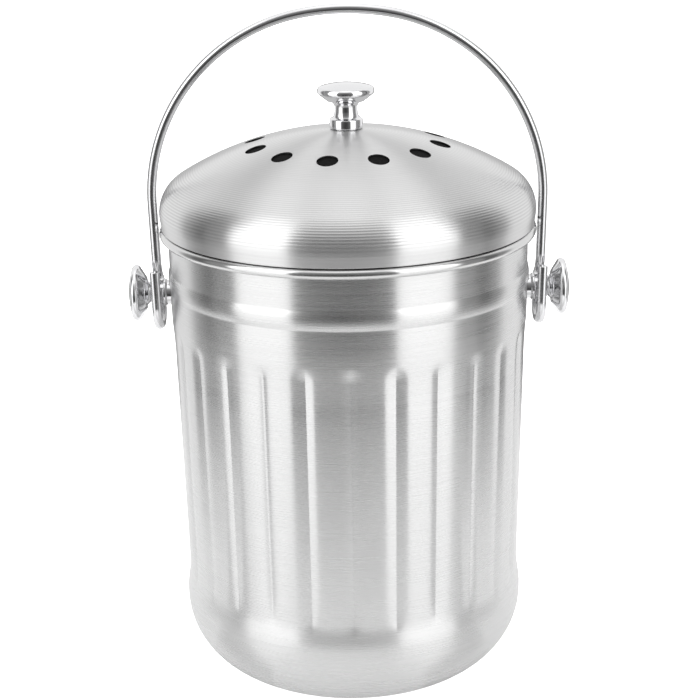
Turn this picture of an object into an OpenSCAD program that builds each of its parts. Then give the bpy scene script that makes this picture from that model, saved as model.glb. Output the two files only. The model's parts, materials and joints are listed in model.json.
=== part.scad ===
// Countertop compost caddy: a fluted, one-piece drawn steel bucket with a wire
// bail and a lift-off vented lid that holds a charcoal filter.
// Millimetres, +Z up, origin at the centre of the base on the table.
// The front of the bucket faces -Y and the bail pivots on the X axis line.

/* [Bucket] */
// Height of the rolled rim above the table
rim_height = 230; // [215:1:260]
// Outer diameter of the plain band under the rim
band_dia = 176.4; // [172:0.2:186]
// How far the smooth foot lies inside the band
foot_in = 1.7; // [0.6:0.1:3]
// Thickness of the drawn sheet
wall = 0.7; // [0.5:0.05:0.9]
// Outer radius of the drawn bottom corner
corner_r = 36; // [28:1:38]
// Diameter of the raised panel in the underside
panel_dia = 76; // [50:1:84]
// Rise of that panel above the table
panel_rise = 1.2; // [0.6:0.1:2]
// Diameter of the outward-rolled rim
curl_dia = 4.8; // [3.6:0.1:6]
// How far round the sheet is rolled, in degrees
curl_turn = 310; // [240:5:315]

/* [Band bead] */
// Drop from the rim to the middle of the raised bead
bead_drop = 24.8; // [20:0.2:29]
// Height of the bead from edge to edge
bead_h = 9.6; // [6:0.2:12]
// How far the bead stands proud of the band
bead_proud = 0.8; // [0.4:0.1:1.4]

/* [Flutes] */
// Number of flutes round the bucket
flute_count = 26; // [20:2:32]
// Height of the lower end of the flutes
flute_bottom = 48; // [42:1:60]
// Drop from the bead to the upper end of the flutes
flute_drop = 19.4; // [14:0.2:40]
// Height over which the flutes run out at each end
flute_runout = 12; // [8:1:16]
// How far the flute crowns lie inside the foot at the lower end
crown_low_in = 1.5; // [1:0.1:2.4]
// How far the flute crowns lie inside the band at the upper end
crown_high_in = 0.8; // [0.5:0.1:1.6]
// Radius of one flute's crown
flute_r = 36; // [30:1:44]
// How far the drawn wall behind the flutes lies inside their creases
flute_seat = 0.15; // [0.1:0.05:0.3]

/* [Bail pivots] */
// Drop from the rim to the pivot line
pivot_drop = 34.7; // [32:0.1:37]
// How far the flat seats are pressed into the band
seat_in = 0.6; // [0.4:0.1:1.4]
// Diameter of each flat seat
seat_dia = 22; // [18:1:26]
// Diameter of the sleeve that the bail turns on
sleeve_dia = 12; // [9:0.5:13]
// Diameter of the sleeve's flange
flange_dia = 14; // [13.2:0.1:17]
// Thickness of that flange
flange_t = 0.9; // [0.6:0.1:1.2]
// Length of the sleeve between the seat and its flange
sleeve_stand = 3.3; // [2.5:0.1:5]
// Diameter of the screws' shanks, lid stud included
screw_dia = 5; // [4:0.5:5]
// Diameter of the pivot screws' heads
screw_head_dia = 9; // [8:0.5:10]
// Height of those heads
screw_head_h = 3; // [2:0.1:4]
// Depth of the hex socket in each head
socket_depth = 1.6; // [1:0.1:1.8]
// Width of that socket across its flats
socket_width = 3; // [2.5:0.5:4]
// How far a pivot screw reaches into its knob
screw_reach = 7; // [5:0.5:8]
// Diameter of the washers under the screw heads
washer_dia = 14; // [11:0.5:16]
// Thickness of those washers
washer_t = 0.8; // [0.6:0.1:1.2]
// Diameter of the rubber seals against the wall
seal_dia = 13; // [11:0.5:15]
// Thickness of those seals
seal_t = 1; // [0.8:0.1:1.5]

/* [Bail] */
// Diameter of the bail wire
wire_dia = 4.8; // [4:0.1:5.2]
// Height of the middle of the wire at the top of the bail above the pivot line
bail_rise = 138; // [131:0.5:150]
// How much wider the bend over the top is than the bends at the shoulders
bail_crown_more = 32; // [20:1:50]
// Distance of each shoulder's bend from the middle of the bail
side_x = 5.1; // [2:0.1:8]
// Gap between the rolled rim and the bail's arms
bail_gap = 1; // [0.7:0.1:2]
// Radius of the middle of the wire round each eye
eye_r = 12.3; // [12:0.1:15]
// Gap between the eye and the sleeve where the upright bail rests
eye_gap = 0.6; // [0.4:0.1:1]
// Height of the cut wire end above the pivot
eye_end = 13.8; // [8:0.2:16]

/* [Lid] */
// How far the lid's edge lies inside the rolled rim
lid_in = 0.3; // [0:0.1:1.5]
// Height of the straight edge of the lid
lid_edge = 7.2; // [5:0.1:10]
// Radius of the lid's shoulder
shoulder_r = 18; // [14:0.5:22]
// Radius of the lid's crown
lid_crown_r = 160; // [150:1:190]
// Thickness of the lid's sheet
lid_wall = 0.6; // [0.5:0.05:0.9]
// Height of the folded hem inside the lid's edge
hem_h = 4; // [3:0.2:5]
// Number of vent holes
vent_count = 12; // [8:1:14]
// Diameter of each vent hole
vent_dia = 10; // [6:0.5:12]
// Diameter of the circle that the vent holes lie on
vent_ring = 91.6; // [80:0.4:100]
// Angle that the lid is turned on the rim
vent_turn = 3.7; // [0:0.1:15]

/* [Plug ring] */
// Room between the bucket's wall and the ring that drops into it
plug_gap = 2.2; // [1.8:0.1:3.5]
// Thickness of the ring's sheet
plug_wall = 0.6; // [0.5:0.05:0.8]
// How far the ring drops below the rim
plug_drop = 8; // [6:0.5:10]
// Height of the sealing band on the ring
gasket_h = 5.5; // [4:0.5:7]
// Thickness of that band's body
gasket_t = 1; // [0.8:0.1:1.4]

/* [Filter] */
// Diameter of the charcoal filter pad
filter_dia = 128; // [120:1:136]
// Thickness of the pad
filter_t = 6; // [4:0.5:8]
// Diameter of the pad's middle hole
filter_hole = 18; // [16:0.5:22]
// Thickness of the filter holder
holder_t = 1.2; // [1:0.1:2]
// Height of the holder's upstand round the pad
holder_rim = 5; // [3:0.5:6]
// Diameter of the holder's outer air holes
grille_outer_dia = 13; // [8:0.5:14]
// Diameter of the holder's inner air holes
grille_inner_dia = 9; // [6:0.5:10]
// Diameter of the thumb nut
thumb_dia = 17; // [14:0.5:20]
// Height of the thumb nut
thumb_h = 6.5; // [5:0.5:9]

/* [Knobs] */
// Diameter of the knob heads
knob_dia = 27.8; // [24:0.2:32]
// Full height of the lid knob
knob_h = 22; // [20:0.2:25]
// Diameter of the lid knob's round base
knob_base_dia = 15; // [13:0.2:18]
// Height of that base
knob_base_h = 5; // [4:0.2:6]
// Diameter of the knobs' necks
neck_dia = 9.6; // [9:0.1:11]
// Height of the top of the neck above the knob's base
neck_top = 10.5; // [10:0.1:11.5]
// Length of neck left on the side knobs
side_neck = 0.2; // [0.2:0.1:1]
// Roundness of the rim of the knob heads
knob_rim_r = 1.7; // [1.4:0.1:2]
// Across-flats size of the nut under the lid
nut_width = 8; // [7:0.5:10]
// Height of that nut
nut_h = 3.5; // [2.5:0.1:4]

/* [Hidden] */

$fn = 96;

// Fits
screw_play = 0.05;    // screw in a tapped part, on the radius
hole_play = 0.2;      // screw through sheet, on the radius
seat_play = 0.05;     // between two parts clamped together
rest_gap = 0.3;       // lid above the rim, gasket inside the wall
pad_gap = 0.3;        // filter pad under the dome
turn_gap = 0.45;      // bail eye between the flange and the knob
big = 400;            // longer than any piece

// Bucket
band_r = band_dia / 2;
foot_r = band_r - foot_in;
panel_r = panel_dia / 2;
corner_x = foot_r - corner_r;
curl_r = curl_dia / 2;
curl_x = band_r - wall + curl_r;
curl_z = rim_height - curl_r;
rim_r = curl_x + curl_r;
bead_z = rim_height - bead_drop;
bead_r = (bead_h * bead_h / 4 + bead_proud * bead_proud) / (2 * bead_proud);
bead_half = asin(bead_h / 2 / bead_r);
bead_x = band_r + bead_proud - bead_r;

// Flutes: one crown is a bar that leans with the bucket's taper
flute_pitch = 360 / flute_count;
flute_top = bead_z - bead_h / 2 - flute_drop;
run_low = flute_bottom + flute_runout / 2;
run_high = flute_top - flute_runout / 2;
crown_low = foot_r - crown_low_in;
crown_high = band_r - crown_high_in;
flute_lean = atan((crown_high - crown_low) / (run_high - run_low));
flute_lap = 0.2;      // overlap of neighbouring bars, in degrees
bar_depth = 8;        // depth of a bar behind its crown

// Pivots
wire_r = wire_dia / 2;
pivot_z = rim_height - pivot_drop;
seat_x = band_r - seat_in;
flange_x = seat_x + sleeve_stand + flange_t;
bail_x = flange_x + turn_gap + wire_r;
sleeve_end = bail_x + wire_r + turn_gap;
inner_seat_x = seat_x - wall;
washer_x = inner_seat_x - seal_t - washer_t;

// Bail: a crown arc, two shoulder arcs, leaning arms and round eyes
bail_top = pivot_z + bail_rise;
bail_half = rim_r + bail_gap + wire_r;
bail_side_r = bail_half - side_x;
bail_crown_r = bail_side_r + bail_crown_more;
crown_z = bail_top - bail_crown_r;
side_z = crown_z + sqrt(pow(bail_crown_more, 2) - side_x * side_x);
crown_half = asin(side_x / bail_crown_more);
arm_dx = bail_x - side_x;
arm_dz = side_z - pivot_z;
arm_far = norm([arm_dx, arm_dz]);
arm_lean = atan2(arm_dz, arm_dx) - acos(bail_side_r / arm_far);
arm_len = sqrt(arm_far * arm_far - bail_side_r * bail_side_r);
eye_bend = 60;        // turn of the wire from the arm into the eye, in degrees
eye_knee = sqrt(pow(eye_r + sleeve_dia / 2 + eye_gap + wire_r, 2) - eye_r * eye_r);
eye_drop = 2 * eye_r * sin(eye_bend) - eye_knee;
arm_straight = arm_len - eye_knee;
joint_h = 0.6;        // length of a hairline collar between two bends
joint_proud = 0.02;   // how far such a collar stands proud of the wire

// Lid
lid_r = rim_r - lid_in;
lid_foot = rim_height + rest_gap;
shoulder_z = lid_foot + lid_edge;
shoulder_x = lid_r - shoulder_r;
dome_z = shoulder_z - sqrt(pow(lid_crown_r - shoulder_r, 2) - shoulder_x * shoulder_x);
dome_edge = atan2(shoulder_z - dome_z, shoulder_x);
dome_top = dome_z + lid_crown_r;
dome_under = lid_crown_r - lid_wall;
hem_r = lid_wall * 1.25;

// Parts hung under the middle of the dome
stud_show = 1;        // stud showing below the thumb nut
stud_gap = 1;         // room above the stud in the knob's bore
pad_room = 0.5;       // room round the pad inside its holder
hub_room = 2.5;       // room round the holder's hub inside the pad
grille_outer_count = 12;
grille_inner_count = 8;
grille_outer_share = 0.36;     // radius of the outer circle of holes, as a share of filter_dia
grille_inner_share = 0.185;    // the same for the inner circle
weld_top = 78;        // angle up the shoulder at which the plug ring's flange ends
washer_top = dome_z + sqrt(pow(dome_under, 2) - pow(washer_dia / 2, 2)) - seat_play;
nut_top = washer_top - washer_t - seat_play;
hub_top = nut_top - nut_h - seat_play;
pad_top_r = dome_under - pad_gap;
pad_under_r = pad_top_r - filter_t;
holder_top_r = pad_under_r - seat_play;
holder_under_r = holder_top_r - holder_t;
thumb_top = dome_z + sqrt(pow(holder_under_r, 2) - pow(thumb_dia / 2, 2)) - seat_play;
stud_bottom = thumb_top - thumb_h - stud_show;

// Ring under the lid
plug_r = band_r - wall - plug_gap;

// Points of an arc from angle a0 to a1
function arc(x, z, r, a0, a1, n) =
    [for (i = [0:n]) let (a = a0 + (a1 - a0) * i / n) [x + r * cos(a), z + r * sin(a)]];

// Points of a soft step from one radius and height to another
function ease(r0, z0, r1, z1, n) =
    [for (i = [0:n]) let (u = i / n) [r0 + (r1 - r0) * (1 - cos(180 * u)) / 2, z0 + (z1 - z0) * u]];

// Points of a hollow quarter ellipse that leaves r0 level and meets r1 upright
function cove(r0, z0, r1, z1, n) =
    [for (i = [0:n]) let (a = 90 * i / n) [r0 + (r1 - r0) * sin(a), z1 + (z0 - z1) * cos(a)]];

function reversed(points) = [for (i = [len(points) - 1:-1:0]) points[i]];

// Radius of the flute crowns at a height, and of the creases between them
function crown_at(z) = crown_low + (z - run_low) * tan(flute_lean);
function crease_at(z) =
    let (c = crown_at(z) - flute_r)
    c * cos(flute_pitch / 2) + sqrt(flute_r * flute_r - pow(c * sin(flute_pitch / 2), 2));

// The bucket's wall from the bottom corner to the rim, set in by t
function wall_line(t) = concat(
    arc(corner_x, corner_r, corner_r - t, -90, 0, 12),
    ease(foot_r - t, flute_bottom - flute_runout / 2,
         crease_at(run_low) - flute_seat - t, run_low, 6),
    ease(crease_at(run_high) - flute_seat - t, run_high,
         band_r - t, flute_top + flute_runout / 2, 6),
    arc(bead_x, bead_z, bead_r - t, -bead_half, bead_half, 8));

// A solid of the bucket's outside, or of its inside with t = wall
module bucket_form(t, top) {
    rotate_extrude()
        polygon(concat(
            [[0, panel_rise + t], [panel_r - t / 2, panel_rise + t], [panel_r + panel_rise - t / 2, t]],
            wall_line(t),
            [[band_r - t, top], [0, top]]));
}

// The crowns of all the flutes, set in by t
module flute_bars(t) {
    bar_from = flute_bottom - flute_runout / 2;
    bar_to = flute_top + flute_runout / 2;
    half = flute_pitch / 2 + flute_lap;
    root = crown_low - bar_depth;
    tip = crown_high + bar_depth;
    for (i = [0:flute_count - 1])
        rotate(-90 + (i + 0.5) * flute_pitch)
            translate([crown_low, 0, run_low])
                rotate([0, flute_lean, 0])
                    translate([-crown_low, 0, bar_from - run_low])
                        linear_extrude(bar_to - bar_from)
                            intersection() {
                                translate([crown_low - flute_r, 0])
                                    circle(flute_r - t, $fn = 180);
                                polygon([[root, -root * tan(half)], [tip, -tip * tan(half)],
                                         [tip, tip * tan(half)], [root, root * tan(half)]]);
                            }
}

// Places children on both pivots, looking outward along +Z
module both_pivots() {
    for (side = [-1, 1])
        at_pivot(side) children();
}

module at_pivot(side) {
    translate([0, 0, pivot_z])
        rotate([0, side * 90, 0])
            children();
}

// Flattens the wall round the pivots beyond a distance x
module pivot_seats(x, dia) {
    both_pivots()
        translate([0, 0, x]) cylinder(h = band_r, d = dia);
}

module rolled_rim() {
    rotate_extrude()
        polygon(concat(
            arc(curl_x, curl_z, curl_r, 180, 180 - curl_turn, 20),
            reversed(arc(curl_x, curl_z, curl_r - wall, 180, 180 - curl_turn, 20))));
}

module bucket() {
    color("silver")
        union() {
            difference() {
                difference() {
                    union() {
                        bucket_form(0, curl_z);
                        flute_bars(0);
                    }
                    pivot_seats(seat_x, seat_dia);
                }
                difference() {
                    union() {
                        bucket_form(wall, rim_height);
                        flute_bars(wall);
                    }
                    pivot_seats(inner_seat_x, seat_dia + 2 * wall);
                }
                both_pivots()
                    translate([0, 0, inner_seat_x - 1])
                        cylinder(h = wall + 2, d = screw_dia + 2 * hole_play);
            }
            rolled_rim();
        }
}

module pivot_screw(side) {
    shank_from = washer_x - seat_play;
    color("gainsboro")
        at_pivot(side)
            difference() {
                union() {
                    translate([0, 0, shank_from - screw_head_h])
                        cylinder(h = screw_head_h, d = screw_head_dia);
                    translate([0, 0, shank_from - screw_head_h / 2])
                        cylinder(h = sleeve_end + screw_reach - shank_from + screw_head_h / 2,
                                 d = screw_dia);
                }
                translate([0, 0, shank_from - screw_head_h - 1])
                    cylinder(h = socket_depth + 1, d = socket_width / cos(30), $fn = 6);
            }
}

module pivot_washer(side) {
    color("gainsboro")
        at_pivot(side)
            translate([0, 0, washer_x])
                ring(washer_dia, screw_dia + 2 * hole_play, washer_t);
}

module pivot_seal(side) {
    color("dimgray")
        at_pivot(side)
            translate([0, 0, washer_x + washer_t])
                ring(seal_dia, screw_dia + 2 * hole_play, seal_t);
}

module ring(outer, inner, h) {
    difference() {
        cylinder(h = h, d = outer);
        translate([0, 0, -1]) cylinder(h = h + 2, d = inner);
    }
}

// Turned sleeve: a stand-off, a lipped flange and the journal for the bail's eye
module pivot_sleeve(side) {
    color("whitesmoke")
        at_pivot(side)
            difference() {
                union() {
                    translate([0, 0, seat_x]) cylinder(h = sleeve_end - seat_x, d = sleeve_dia);
                    translate([0, 0, flange_x - flange_t]) cylinder(h = flange_t, d = flange_dia);
                    translate([0, 0, flange_x - 2 * flange_t])
                        cylinder(h = flange_t, d1 = sleeve_dia, d2 = flange_dia);
                }
                translate([0, 0, seat_x - 1])
                    cylinder(h = sleeve_end - seat_x + 2, d = screw_dia + 2 * hole_play);
            }
}

// The mushroom head shared by all knobs, from the top of its neck upward
function knob_head() =
    let (
        n = neck_dia / 2, rim_x = knob_dia / 2 - knob_rim_r, rim_z = knob_h - 3.8,
        edge_r = rim_x + knob_rim_r * cos(72), edge_z = rim_z + knob_rim_r * sin(72))
    concat(
        reversed(cove(n + 3.4, neck_top + 2.8, n, neck_top, 6)),
        arc(rim_x, rim_z, knob_rim_r, -55, 72, 8),
        [for (i = [1:6]) let (u = 1 - i / 6)
            [edge_r * u, knob_h - (knob_h - edge_z) * u * u]]);

module lid_knob() {
    base_r = knob_base_dia / 2;
    color("whitesmoke")
        translate([0, 0, dome_top])
            difference() {
                rotate_extrude()
                    polygon(concat(
                        [[0, 0], [base_r, 0], [base_r, knob_base_h - 0.5], [base_r - 0.5, knob_base_h]],
                        cove(base_r - 0.9, knob_base_h, neck_dia / 2, knob_base_h + 4, 6),
                        knob_head()));
                translate([0, 0, -1])
                    cylinder(h = neck_top + 1, d = screw_dia + 2 * screw_play);
            }
}

module side_knob(side) {
    start = neck_top - side_neck;
    color("whitesmoke")
        at_pivot(side)
            translate([0, 0, sleeve_end - start])
                difference() {
                    rotate_extrude()
                        polygon(concat([[0, start], [neck_dia / 2, start]], knob_head()));
                    translate([0, 0, start - 1])
                        cylinder(h = screw_reach + 1.5, d = screw_dia + 2 * screw_play);
                }
}

// A stretch of bent wire round the origin of the XY plane
module wire_bend(r, a0, a1) {
    rotate(a0)
        rotate_extrude(angle = a1 - a0)
            translate([r, 0]) circle(wire_r, $fn = 32);
}

// Hairline collar that carries a bend of radius r into a bend of another radius
module wire_joint(r, a) {
    rotate(a)
        translate([r, 0])
            rotate([90, 0, 0])
                cylinder(h = joint_h, r = wire_r + joint_proud, center = true, $fn = 32);
}

// Angle by which a bend of radius r stops short of such a joint
function joint_short(r) = joint_h / 6 / r * 180 / PI;

// One arm and its eye: X runs to the back, Y up the arm, from its joint with the shoulder
module bail_arm() {
    translate([0, -arm_straight]) {
        rotate([-90, 0, 0]) cylinder(h = arm_straight, r = wire_r, $fn = 32);
        translate([eye_r, 0])
            wire_bend(eye_r, 180, 180 + eye_bend - joint_short(eye_r));
        translate([0, -2 * eye_r * sin(eye_bend)]) {
            wire_joint(eye_r, eye_bend);
            wire_bend(eye_r, -180, eye_bend - joint_short(eye_r));
            translate([-eye_r, 0])
                rotate([-90, 0, 0]) cylinder(h = eye_drop + eye_end, r = wire_r, $fn = 32);
        }
    }
}

// A shoulder and its arm, turned together by the lean of the arm
module bail_side() {
    bend_end = 90 - crown_half + arm_lean;
    translate([side_x, 0, side_z])
        rotate([0, arm_lean, 0]) {
            rotate([90, 0, 0]) {
                wire_bend(bail_side_r, 0, bend_end - joint_short(bail_side_r));
                wire_joint(bail_side_r, bend_end);
            }
            translate([bail_side_r, 0, 0])
                rotate([0, 0, 90]) rotate([90, 0, 0]) bail_arm();
        }
}

module bail_handle() {
    crown_end = crown_half - joint_short(bail_crown_r);
    color("lightgray")
        union() {
            translate([0, 0, crown_z])
                rotate([90, 0, 0])
                    wire_bend(bail_crown_r, 90 - crown_end, 90 + crown_end);
            bail_side();
            mirror([1, 0, 0]) bail_side();
        }
}

module lid_dome() {
    color("silver")
        difference() {
            rotate_extrude()
                polygon(concat(
                    [[0, dome_top]],
                    reversed(arc(0, dome_z, lid_crown_r, dome_edge, 89, 14)),
                    reversed(arc(shoulder_x, shoulder_z, shoulder_r, 0, dome_edge, 9)),
                    arc(lid_r - hem_r, lid_foot + hem_r, hem_r, 0, -180, 8),
                    [[lid_r - 2 * hem_r, lid_foot + hem_h],
                     [lid_r - lid_wall, lid_foot + hem_h]],
                    arc(shoulder_x, shoulder_z, shoulder_r - lid_wall, 0, dome_edge, 9),
                    arc(0, dome_z, dome_under, dome_edge, 89, 14),
                    [[0, dome_z + dome_under]]));
            for (i = [0:vent_count - 1])
                rotate(-90 + vent_turn + (i + 0.5) * 360 / vent_count)
                    translate([vent_ring / 2, 0, shoulder_z])
                        cylinder(h = dome_top - shoulder_z + 1, d = vent_dia);
            translate([0, 0, shoulder_z])
                cylinder(h = dome_top - shoulder_z + 1, d = screw_dia + 2 * hole_play);
        }
}

// Plain skirt that drops into the bucket, with a flange welded under the shoulder
module lid_plug_ring() {
    in_r = plug_r - plug_wall;
    weld_r = shoulder_r - lid_wall - seat_play;
    weld_in_r = weld_r - plug_wall;
    a_out = acos((plug_r - shoulder_x) / weld_r);
    a_in = acos((in_r - shoulder_x) / weld_in_r);
    color("silver")
        rotate_extrude()
            polygon(concat(
                [[plug_r, rim_height - plug_drop]],
                arc(shoulder_x, shoulder_z, weld_r, a_out, weld_top, 5),
                reversed(arc(shoulder_x, shoulder_z, weld_in_r, a_in, weld_top, 5)),
                [[in_r, rim_height - plug_drop]]));
}

// Silicone band on the skirt, with one lip that wipes the bucket's wall
module lid_gasket() {
    in_r = plug_r + seat_play;
    low = rim_height - plug_drop + 0.5;
    lip = band_r - wall - rest_gap;
    mid = low + gasket_h / 2;
    color("dimgray")
        rotate_extrude()
            polygon([[in_r, low], [in_r + gasket_t * 0.7, low], [in_r + gasket_t, low + 0.8],
                     [lip, mid + 0.5], [lip, mid + 1.1], [in_r + gasket_t, mid + 0.4],
                     [in_r + gasket_t, low + gasket_h - 0.4], [in_r + gasket_t - 0.4, low + gasket_h],
                     [in_r, low + gasket_h]]);
}

module knob_stud() {
    color("gainsboro")
        translate([0, 0, stud_bottom])
            cylinder(h = dome_top + neck_top - stud_gap - stud_bottom, d = screw_dia);
}

module knob_washer() {
    color("gainsboro")
        translate([0, 0, washer_top - washer_t])
            ring(washer_dia, screw_dia + 2 * hole_play, washer_t);
}

module knob_nut() {
    color("gainsboro")
        translate([0, 0, nut_top - nut_h])
            difference() {
                cylinder(h = nut_h, d = nut_width / cos(30), $fn = 6);
                translate([0, 0, -1]) cylinder(h = nut_h + 2, d = screw_dia + 2 * screw_play);
            }
}

// Angle at which a dome of radius r reaches a distance x from the axis
function dome_angle(x, r) = acos(x / r);

module charcoal_filter() {
    out = filter_dia / 2;
    hole = filter_hole / 2;
    color("black")
        rotate_extrude()
            polygon(concat(
                arc(0, dome_z, pad_top_r, dome_angle(out, pad_top_r), dome_angle(hole, pad_top_r), 10),
                reversed(arc(0, dome_z, pad_under_r,
                             dome_angle(out, pad_under_r), dome_angle(hole, pad_under_r), 10))));
}

module filter_holder() {
    pad_edge = filter_dia / 2 + pad_room;
    out = pad_edge + holder_t;
    edge_z = dome_z + holder_under_r * sin(dome_angle(out, holder_under_r));
    hub_r = filter_hole / 2 - hub_room;
    bore = screw_dia / 2 + hole_play;
    color("darkslategray")
        difference() {
            rotate_extrude()
                polygon(concat(
                    [[bore, dome_z + holder_under_r]],
                    reversed(arc(0, dome_z, holder_under_r, dome_angle(out, holder_under_r), 88, 10)),
                    [[out, edge_z + holder_t + holder_rim],
                     [pad_edge, edge_z + holder_t + holder_rim]],
                    arc(0, dome_z, holder_top_r, dome_angle(pad_edge, holder_top_r),
                        dome_angle(hub_r, holder_top_r), 10),
                    [[hub_r, hub_top], [bore, hub_top]]));
            grille(grille_outer_count, grille_outer_share * filter_dia, grille_outer_dia);
            grille(grille_inner_count, grille_inner_share * filter_dia, grille_inner_dia);
        }
}

// A circle of air holes through the holder
module grille(count, at, dia) {
    for (i = [0:count - 1])
        rotate((i + 0.5) * 360 / count)
            translate([at, 0, shoulder_z])
                cylinder(h = dome_top - shoulder_z, d = dia, $fn = 48);
}

// Round nut with finger scallops, undone by hand to change the filter
module thumb_nut() {
    lobes = 8;
    color("darkslategray")
        translate([0, 0, thumb_top - thumb_h])
            difference() {
                cylinder(h = thumb_h, d = thumb_dia);
                translate([0, 0, -1]) cylinder(h = thumb_h + 2, d = screw_dia + 2 * screw_play);
                for (i = [0:lobes - 1])
                    rotate(i * 360 / lobes)
                        translate([thumb_dia / 2 + 1, 0, -1])
                            cylinder(h = thumb_h + 2, r = thumb_dia / 8, $fn = 32);
            }
}

bucket();
pivot_screw(-1);  // pivot_screw_left
pivot_screw(1);  // pivot_screw_right
pivot_washer(-1);  // pivot_washer_left
pivot_washer(1);  // pivot_washer_right
pivot_seal(-1);  // pivot_seal_left
pivot_seal(1);  // pivot_seal_right
pivot_sleeve(-1);  // pivot_sleeve_left
pivot_sleeve(1);  // pivot_sleeve_right
side_knob(-1);  // side_knob_left
side_knob(1);  // side_knob_right
bail_handle();
lid_dome();
lid_plug_ring();
lid_gasket();
lid_knob();
knob_stud();
knob_washer();
knob_nut();
charcoal_filter();
filter_holder();
thumb_nut();
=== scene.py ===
"""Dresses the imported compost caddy: drawn and spun steel, bent wire, turned knobs and the filter.

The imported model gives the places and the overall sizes. Sizes, places and depths in the classes are
millimetres, angles are degrees, and the finished meshes are in metres.
"""

from __future__ import annotations

import json
import logging
import math
from collections.abc import Callable, Sequence
from dataclasses import dataclass, field
from enum import Enum

import bmesh
import bpy
from mathutils import Matrix, Vector, noise


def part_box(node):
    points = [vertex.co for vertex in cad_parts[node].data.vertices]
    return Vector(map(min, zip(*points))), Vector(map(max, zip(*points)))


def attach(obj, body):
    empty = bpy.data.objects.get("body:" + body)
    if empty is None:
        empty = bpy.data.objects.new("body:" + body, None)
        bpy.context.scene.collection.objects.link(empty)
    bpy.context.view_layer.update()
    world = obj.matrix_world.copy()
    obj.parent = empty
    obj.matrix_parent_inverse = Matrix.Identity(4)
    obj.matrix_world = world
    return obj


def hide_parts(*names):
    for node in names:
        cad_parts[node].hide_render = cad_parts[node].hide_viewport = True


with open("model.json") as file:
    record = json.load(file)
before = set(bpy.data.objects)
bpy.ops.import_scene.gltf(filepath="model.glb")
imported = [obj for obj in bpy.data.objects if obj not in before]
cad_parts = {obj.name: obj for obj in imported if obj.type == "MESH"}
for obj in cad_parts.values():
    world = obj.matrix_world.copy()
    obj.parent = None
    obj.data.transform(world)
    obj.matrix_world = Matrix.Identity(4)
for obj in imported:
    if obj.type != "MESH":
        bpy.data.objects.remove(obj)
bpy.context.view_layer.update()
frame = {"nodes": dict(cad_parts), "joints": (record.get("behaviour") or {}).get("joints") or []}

log = logging.getLogger("caddy")

MM = 0.001
WELD = 1e-4
ON_AXIS = 1e-6
NOISE_LOW, NOISE_HIGH = 0.3, 0.7
MIX_COLOUR_A, MIX_COLOUR_B, MIX_COLOUR_OUT = 6, 7, 2

Point = tuple[float, float, float]
Line = list[tuple[float, float]]


class Part(Enum):
    """The moving groups of the caddy."""

    BUCKET = "bucket"
    BAIL = "bail"
    LID = "lid"


class Side(Enum):
    """The two pivots, with the sign of X on which each one lies."""

    LEFT = -1
    RIGHT = 1

    @property
    def tag(self) -> str:
        """Ending of the names of the pieces on this side."""
        return self.name.lower()


# ---- outlines


def arc(x: float, z: float, r: float, start: float, end: float, steps: int) -> Line:
    """Points of an arc.

    Args:
        x: Radius at which the arc's centre lies.
        z: Height of the arc's centre.
        r: Radius of the arc.
        start: First angle in degrees.
        end: Last angle in degrees.
        steps: Number of stretches.

    Returns:
        The points as radius and height.
    """
    turns = [math.radians(start + (end - start) * i / steps) for i in range(steps + 1)]
    return [(x + r * math.cos(a), z + r * math.sin(a)) for a in turns]


def ease(low: tuple[float, float], high: tuple[float, float], steps: int) -> Line:
    """Points of a soft step between two points, level with the axis at both ends.

    Args:
        low: First radius and height.
        high: Last radius and height.
        steps: Number of stretches.

    Returns:
        The points as radius and height.
    """
    line: Line = []
    for i in range(steps + 1):
        u = i / steps
        blend = (1 - math.cos(math.pi * u)) / 2
        line.append((low[0] + (high[0] - low[0]) * blend, low[1] + (high[1] - low[1]) * u))
    return line


def straight(low: tuple[float, float], high: tuple[float, float], steps: int) -> Line:
    """Points of a straight stretch, without its two ends.

    Args:
        low: First radius and height.
        high: Last radius and height.
        steps: Number of stretches.

    Returns:
        The points between the ends as radius and height.
    """
    return [
        (low[0] + (high[0] - low[0]) * i / steps, low[1] + (high[1] - low[1]) * i / steps)
        for i in range(1, steps)
    ]


def cove(start: tuple[float, float], end: tuple[float, float], steps: int) -> Line:
    """Points of a hollow quarter ellipse that leaves level and arrives upright.

    Args:
        start: Radius and height where the curve runs level.
        end: Radius and height where the curve runs upright.
        steps: Number of stretches.

    Returns:
        The points as radius and height.
    """
    line: Line = []
    for i in range(steps + 1):
        a = math.pi / 2 * i / steps
        line.append(
            (
                start[0] + (end[0] - start[0]) * math.sin(a),
                end[1] + (start[1] - end[1]) * math.cos(a),
            )
        )
    return line


def smooth(u: float) -> float:
    """Smooth step of a value held between 0 and 1."""
    u = min(max(u, 0.0), 1.0)
    return u * u * (3 - 2 * u)


# ---- meshes


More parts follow.
